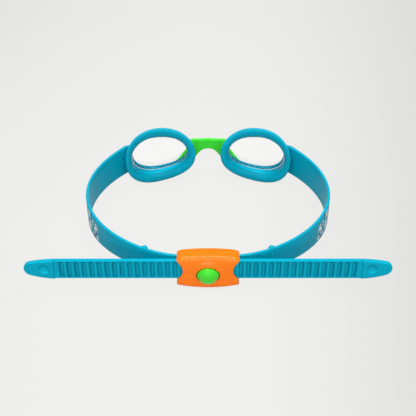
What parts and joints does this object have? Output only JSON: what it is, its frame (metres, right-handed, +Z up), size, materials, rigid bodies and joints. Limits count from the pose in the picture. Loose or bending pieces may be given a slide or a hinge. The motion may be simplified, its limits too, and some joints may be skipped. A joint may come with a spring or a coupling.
{
  "type": "swim goggles",
  "caption": "Children's swim goggles with soft eyecups, clear lenses, a nose bridge and ribbed head straps joined at the back by a push-button adjuster clip.",
  "frame": {"origin": "on the surface the goggles stand on, in the middle of their width and depth", "axes": "+Z up, +Y the way the lenses face, +X the wearer's right; the adjuster clip is at -Y"},
  "size_m": [0.1986, 0.137, 0.0408],
  "materials": {
    "lens_clear": "clear polished polycarbonate",
    "seal_teal": "soft satin silicone",
    "frame_teal": "satin",
    "strap_teal": "soft satin silicone",
    "bridge_green": "soft satin",
    "clip_orange": "satin moulded",
    "steel": "stainless",
    "button_green": "semi-gloss moulded"
  },
  "bodies": {
    "goggles": {"lens_left": "lens_clear", "lens_right": "lens_clear", "eyecup_seal_left": "seal_teal", "eyecup_seal_right": "seal_teal", "lens_frame_left": "frame_teal", "lens_frame_right": "frame_teal", "nose_bridge": "bridge_green", "head_strap_left": "strap_teal", "head_strap_right": "strap_teal", "clip_cover": "clip_orange", "clip_base": "clip_orange", "guide_pin_left": "steel", "guide_pin_right": "steel", "button_spring": "steel"},
    "button": {"release_button": "button_green"},
    "tail_left": {"strap_tail_left": "strap_teal"},
    "tail_right": {"strap_tail_right": "strap_teal"}
  },
  "joints": [
    {"name": "button_press", "type": "slide", "parent": "goggles", "child": "button", "axis": [0, 1, 0], "range_m": [0, 0.002], "stiffness_N_per_m": 400, "springref_m": -0.003, "deforming": ["button_spring"]},
    {"name": "left_tail_pull", "type": "slide", "parent": "goggles", "child": "tail_left", "axis": [-1, 0, 0], "range_m": [0, 0.02]},
    {"name": "right_tail_pull", "type": "slide", "parent": "goggles", "child": "tail_right", "axis": [1, 0, 0], "range_m": [0, 0.02]}
  ]
}
